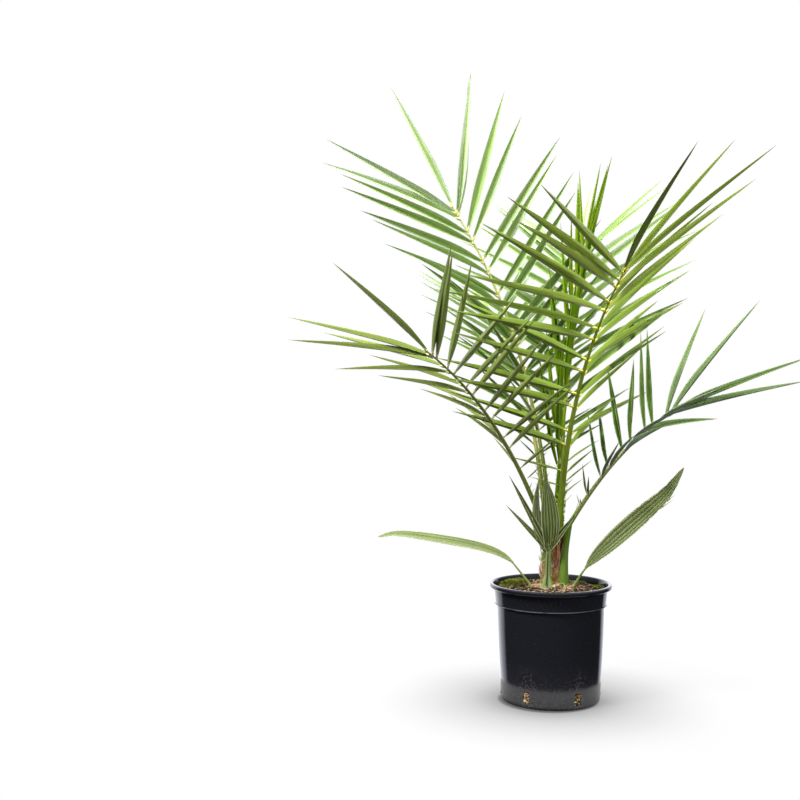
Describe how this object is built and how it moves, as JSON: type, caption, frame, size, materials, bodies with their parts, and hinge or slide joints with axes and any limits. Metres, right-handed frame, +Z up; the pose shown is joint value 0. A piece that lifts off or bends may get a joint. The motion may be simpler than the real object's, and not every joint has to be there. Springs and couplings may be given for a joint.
{
  "type": "potted young date palm",
  "caption": "Young date palm with arching feather fronds, an upright spear leaf and juvenile strap leaves, growing in a round nursery pot of soil.",
  "frame": {"origin": "middle of the flat underside of the pot", "axes": "+Z up, -Y is the plant's front where the split juvenile leaf stands, +X towards the low right-hand frond"},
  "size_m": [0.7316, 0.7274, 1.0008],
  "materials": {
    "pot": "injection-moulded black polypropylene, semi-gloss, dusty towards the foot",
    "soil": "dark potting compost with bark crumbs, pale root ends and moss",
    "stem": "brown old leaf bases round a short stem",
    "fibre": "red-brown papery leaf-base fibre",
    "spear": "bright yellow-green unopened leaf, satin",
    "frond_pale": "pale glaucous green leaf, waxy satin",
    "frond_olive": "olive green leaf, satin",
    "frond_mid": "mid green leaf with yellowish margins, satin",
    "frond_blue": "blue-grey green leaf, satin",
    "juvenile": "grey-green pleated blade, matt"
  },
  "bodies": {
    "root": {"pot": "pot", "soil": "soil", "stem": "stem", "fibre_sheath": "fibre", "spear": "spear", "frond_back_left": "frond_pale", "frond_left": "frond_olive", "frond_centre": "frond_mid", "frond_right": "frond_blue", "frond_back": "frond_pale", "frond_back_far_left": "frond_pale", "strap_leaf_right": "juvenile", "strap_leaf_left": "juvenile", "split_leaf": "juvenile"}
  },
  "joints": []
}
